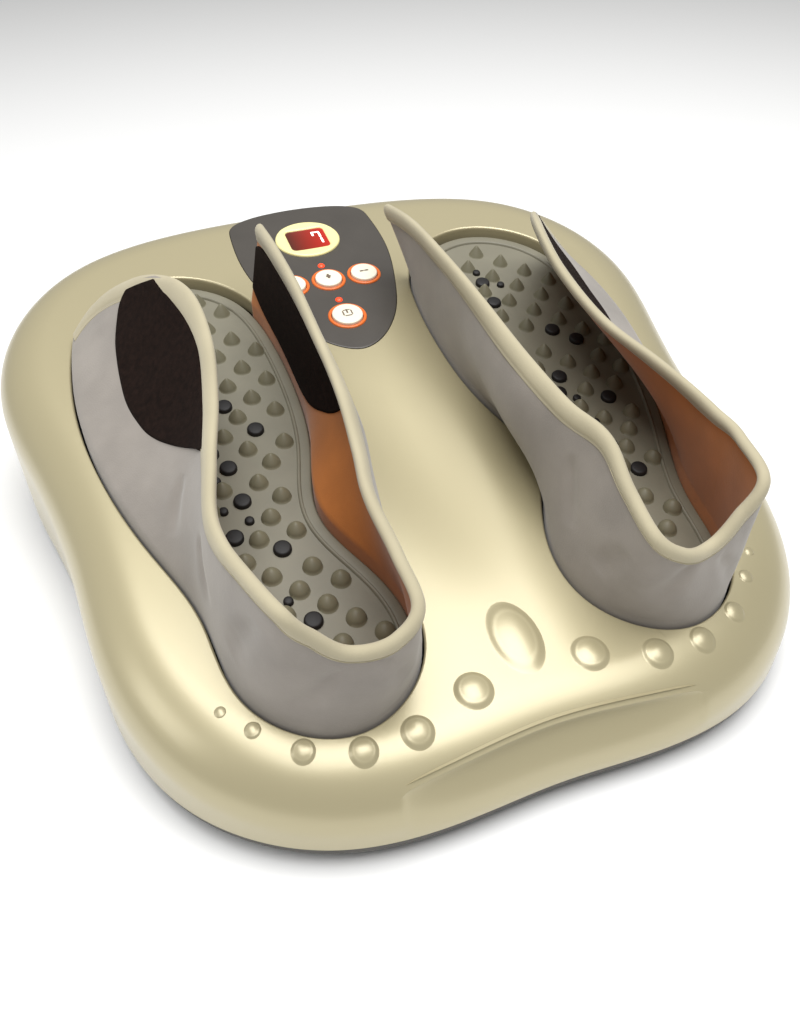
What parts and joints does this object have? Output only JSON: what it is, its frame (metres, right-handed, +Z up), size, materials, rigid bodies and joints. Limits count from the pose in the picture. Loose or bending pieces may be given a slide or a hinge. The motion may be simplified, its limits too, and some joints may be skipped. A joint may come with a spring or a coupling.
{
  "type": "foot massager",
  "caption": "Sloping floor-standing foot massager: nubbed vibrating plates inside open fabric sleeves, with a shield-shaped control panel on the deck.",
  "frame": {"origin": "middle of the case, on the surface that the rubber feet stand on", "axes": "+X to the right, +Y from the heels to the toes, where the deck is high, +Z up"},
  "size_m": [0.4004, 0.4177, 0.157],
  "materials": {
    "champagne_paint": "glossy champagne metallic paint on moulded plastic",
    "grey_tray_plastic": "fine texture",
    "rubber": "matt",
    "zinc_plated_steel": "zinc plated",
    "olive_plate_plastic": "satin",
    "grey_sleeve_fabric": "woven, padded, orange-brown lining",
    "dark_hook_and_loop": "hook and loop pile",
    "retainer_plastic": "matt",
    "motor_steel": "drawn can",
    "sintered_weight": "sintered",
    "panel_plastic": "satin",
    "yellow_bezel": "gloss",
    "smoked_red_window": "smoked red, lit from behind",
    "black_display": "matt black",
    "cream_button": "satin",
    "orange_ring": "gloss",
    "red_lamp": "red diffusing",
    "green_board": "solder mask",
    "transformer_core": "laminated core, dark bobbin",
    "black_inlet_plastic": "matt"
  },
  "bodies": {
    "base": {"bottom_cover": "grey_tray_plastic", "control_board": "green_board", "control_panel": "panel_plastic", "display_lens": "smoked_red_window", "display_module": "black_display", "display_ring": "yellow_bezel", "left_button_ring": "orange_ring", "left_heel_inner_mount": "rubber", "left_heel_outer_mount": "rubber", "left_heel_rubber_foot": "rubber", "left_heel_screw": "zinc_plated_steel", "left_lamp": "red_lamp", "left_side_screw": "zinc_plated_steel", "left_toe_inner_mount": "rubber", "left_toe_outer_mount": "rubber", "left_toe_rubber_foot": "rubber", "left_toe_screw": "zinc_plated_steel", "lower_button_ring": "orange_ring", "lower_lamp": "red_lamp", "middle_button_ring": "orange_ring", "middle_lamp": "red_lamp", "power_board": "green_board", "power_inlet": "black_inlet_plastic", "right_button_ring": "orange_ring", "right_heel_inner_mount": "rubber", "right_heel_outer_mount": "rubber", "right_heel_rubber_foot": "rubber", "right_heel_screw": "zinc_plated_steel", "right_side_screw": "zinc_plated_steel", "right_toe_inner_mount": "rubber", "right_toe_outer_mount": "rubber", "right_toe_rubber_foot": "rubber", "right_toe_screw": "zinc_plated_steel", "top_cover": "champagne_paint", "transformer": "transformer_core"},
    "left_button_cap": {"left_button": "cream_button"},
    "left_rotor_group": {"left_eccentric_rotor": "sintered_weight"},
    "left_plate_group": {"left_foot_plate": "olive_plate_plastic", "left_hem_retainer": "retainer_plastic", "left_motor": "motor_steel", "left_motor_bracket": "zinc_plated_steel", "left_sleeve": "grey_sleeve_fabric"},
    "left_medial_side": {"left_hook_patch": "dark_hook_and_loop", "left_medial_flap": "grey_sleeve_fabric"},
    "left_lateral_side": {"left_lateral_flap": "grey_sleeve_fabric", "left_loop_patch": "dark_hook_and_loop"},
    "lower_button_cap": {"lower_button": "cream_button"},
    "middle_button_cap": {"middle_button": "cream_button"},
    "right_button_cap": {"right_button": "cream_button"},
    "right_rotor_group": {"right_eccentric_rotor": "sintered_weight"},
    "right_plate_group": {"right_foot_plate": "olive_plate_plastic", "right_hem_retainer": "retainer_plastic", "right_motor": "motor_steel", "right_motor_bracket": "zinc_plated_steel", "right_sleeve": "grey_sleeve_fabric"},
    "right_medial_side": {"right_hook_patch": "dark_hook_and_loop", "right_medial_flap": "grey_sleeve_fabric"},
    "right_lateral_side": {"right_lateral_flap": "grey_sleeve_fabric", "right_loop_patch": "dark_hook_and_loop"}
  },
  "joints": [
    {"name": "left_plate_bounce", "type": "slide", "parent": "base", "child": "left_plate_group", "axis": [0, 0, 1], "range_m": [-0.002, 0.001], "stiffness_N_per_m": 12000, "deforming": ["left_heel_inner_mount", "left_heel_outer_mount", "left_toe_inner_mount", "left_toe_outer_mount"]},
    {"name": "left_motor_spin", "type": "hinge", "parent": "left_plate_group", "child": "left_rotor_group", "pos_m": [-0.09623, 0.00584, 0.0602], "axis": [1, 0, 0], "continuous": true},
    {"name": "left_lateral_fold", "type": "hinge", "parent": "left_plate_group", "child": "left_lateral_side", "pos_m": [-0.12169, -0.12772, 0.08021], "axis": [0.081, -0.9819, -0.1715], "range_deg": [-12, 45]},
    {"name": "left_medial_fold", "type": "hinge", "parent": "left_plate_group", "child": "left_medial_side", "pos_m": [-0.04284, -0.12691, 0.08034], "axis": [-0.01, 0.985, 0.172], "range_deg": [-20, 35]},
    {"name": "right_plate_bounce", "type": "slide", "parent": "base", "child": "right_plate_group", "axis": [0, 0, 1], "range_m": [-0.002, 0.001], "stiffness_N_per_m": 12000, "deforming": ["right_heel_inner_mount", "right_heel_outer_mount", "right_toe_inner_mount", "right_toe_outer_mount"]},
    {"name": "right_motor_spin", "type": "hinge", "parent": "right_plate_group", "child": "right_rotor_group", "pos_m": [0.09623, 0.00584, 0.0602], "axis": [1, 0, 0], "continuous": true},
    {"name": "right_lateral_fold", "type": "hinge", "parent": "right_plate_group", "child": "right_lateral_side", "pos_m": [0.12169, -0.12772, 0.08021], "axis": [0.081, 0.9819, 0.1715], "range_deg": [-12, 45]},
    {"name": "right_medial_fold", "type": "hinge", "parent": "right_plate_group", "child": "right_medial_side", "pos_m": [0.04284, -0.12691, 0.08034], "axis": [-0.01, -0.985, -0.172], "range_deg": [-20, 35]},
    {"name": "left_button_press", "type": "slide", "parent": "base", "child": "left_button_cap", "axis": [0, -0.172, 0.9851], "range_m": [-0.0012, 0], "stiffness_N_per_m": 500},
    {"name": "middle_button_press", "type": "slide", "parent": "base", "child": "middle_button_cap", "axis": [0, -0.172, 0.9851], "range_m": [-0.0012, 0], "stiffness_N_per_m": 500},
    {"name": "right_button_press", "type": "slide", "parent": "base", "child": "right_button_cap", "axis": [0, -0.172, 0.9851], "range_m": [-0.0012, 0], "stiffness_N_per_m": 500},
    {"name": "lower_button_press", "type": "slide", "parent": "base", "child": "lower_button_cap", "axis": [0, -0.172, 0.9851], "range_m": [-0.0012, 0], "stiffness_N_per_m": 500}
  ]
}
